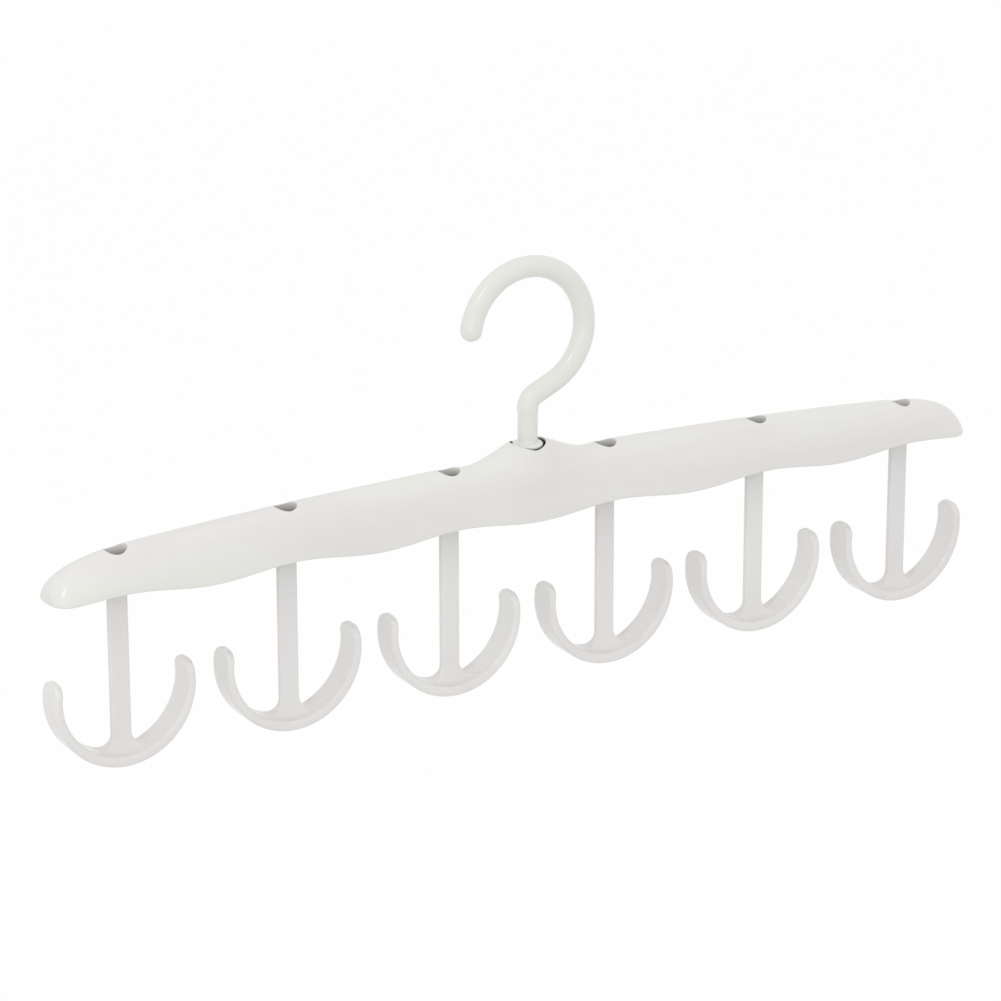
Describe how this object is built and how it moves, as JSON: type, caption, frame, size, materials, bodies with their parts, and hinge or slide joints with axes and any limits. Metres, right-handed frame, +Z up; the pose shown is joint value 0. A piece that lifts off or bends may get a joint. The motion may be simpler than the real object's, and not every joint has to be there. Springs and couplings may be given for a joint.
{
  "type": "multi-hook hanger",
  "caption": "White plastic hanger bar under a swivelling rail hook, with turning double hooks below it for belts, ties, scarves and bag straps.",
  "frame": {"origin": "where a rail bears in the rail hook: the middle of the lowest point of the ring's inner top", "axes": "+X along the bar, away from the rail hook's open side; +Y to the bar's back; +Z up"},
  "size_m": [0.4072, 0.0216, 0.1686],
  "materials": {
    "bar_plastic": "white injection moulding, half gloss",
    "rail_hook_plastic": "white injection moulding, half gloss",
    "double_hook_plastic": "white injection moulding, half gloss",
    "cap_plastic": "pale injection moulding, matt"
  },
  "bodies": {
    "rail_hook": {"rail_hook": "rail_hook_plastic", "rail_hook_cap": "cap_plastic"},
    "bar": {"bar_shell": "bar_plastic"},
    "double_hook_1": {"double_hook_1": "double_hook_plastic", "stem_cap_1": "cap_plastic"},
    "double_hook_2": {"double_hook_2": "double_hook_plastic", "stem_cap_2": "cap_plastic"},
    "double_hook_3": {"double_hook_3": "double_hook_plastic", "stem_cap_3": "cap_plastic"},
    "double_hook_4": {"double_hook_4": "double_hook_plastic", "stem_cap_4": "cap_plastic"},
    "double_hook_5": {"double_hook_5": "double_hook_plastic", "stem_cap_5": "cap_plastic"},
    "double_hook_6": {"double_hook_6": "double_hook_plastic", "stem_cap_6": "cap_plastic"}
  },
  "joints": [
    {"name": "bar_swivel", "type": "hinge", "parent": "rail_hook", "child": "bar", "pos_m": [0, 0, -0.0717], "axis": [0, 0, 1], "continuous": true},
    {"name": "double_hook_1_turn", "type": "hinge", "parent": "bar", "child": "double_hook_1", "pos_m": [-0.175, 0, -0.0852], "axis": [0, 0, 1], "continuous": true},
    {"name": "double_hook_2_turn", "type": "hinge", "parent": "bar", "child": "double_hook_2", "pos_m": [-0.105, 0, -0.0852], "axis": [0, 0, 1], "continuous": true},
    {"name": "double_hook_3_turn", "type": "hinge", "parent": "bar", "child": "double_hook_3", "pos_m": [-0.035, 0, -0.0852], "axis": [0, 0, 1], "continuous": true},
    {"name": "double_hook_4_turn", "type": "hinge", "parent": "bar", "child": "double_hook_4", "pos_m": [0.035, 0, -0.0852], "axis": [0, 0, 1], "continuous": true},
    {"name": "double_hook_5_turn", "type": "hinge", "parent": "bar", "child": "double_hook_5", "pos_m": [0.105, 0, -0.0852], "axis": [0, 0, 1], "continuous": true},
    {"name": "double_hook_6_turn", "type": "hinge", "parent": "bar", "child": "double_hook_6", "pos_m": [0.175, 0, -0.0852], "axis": [0, 0, 1], "continuous": true}
  ]
}
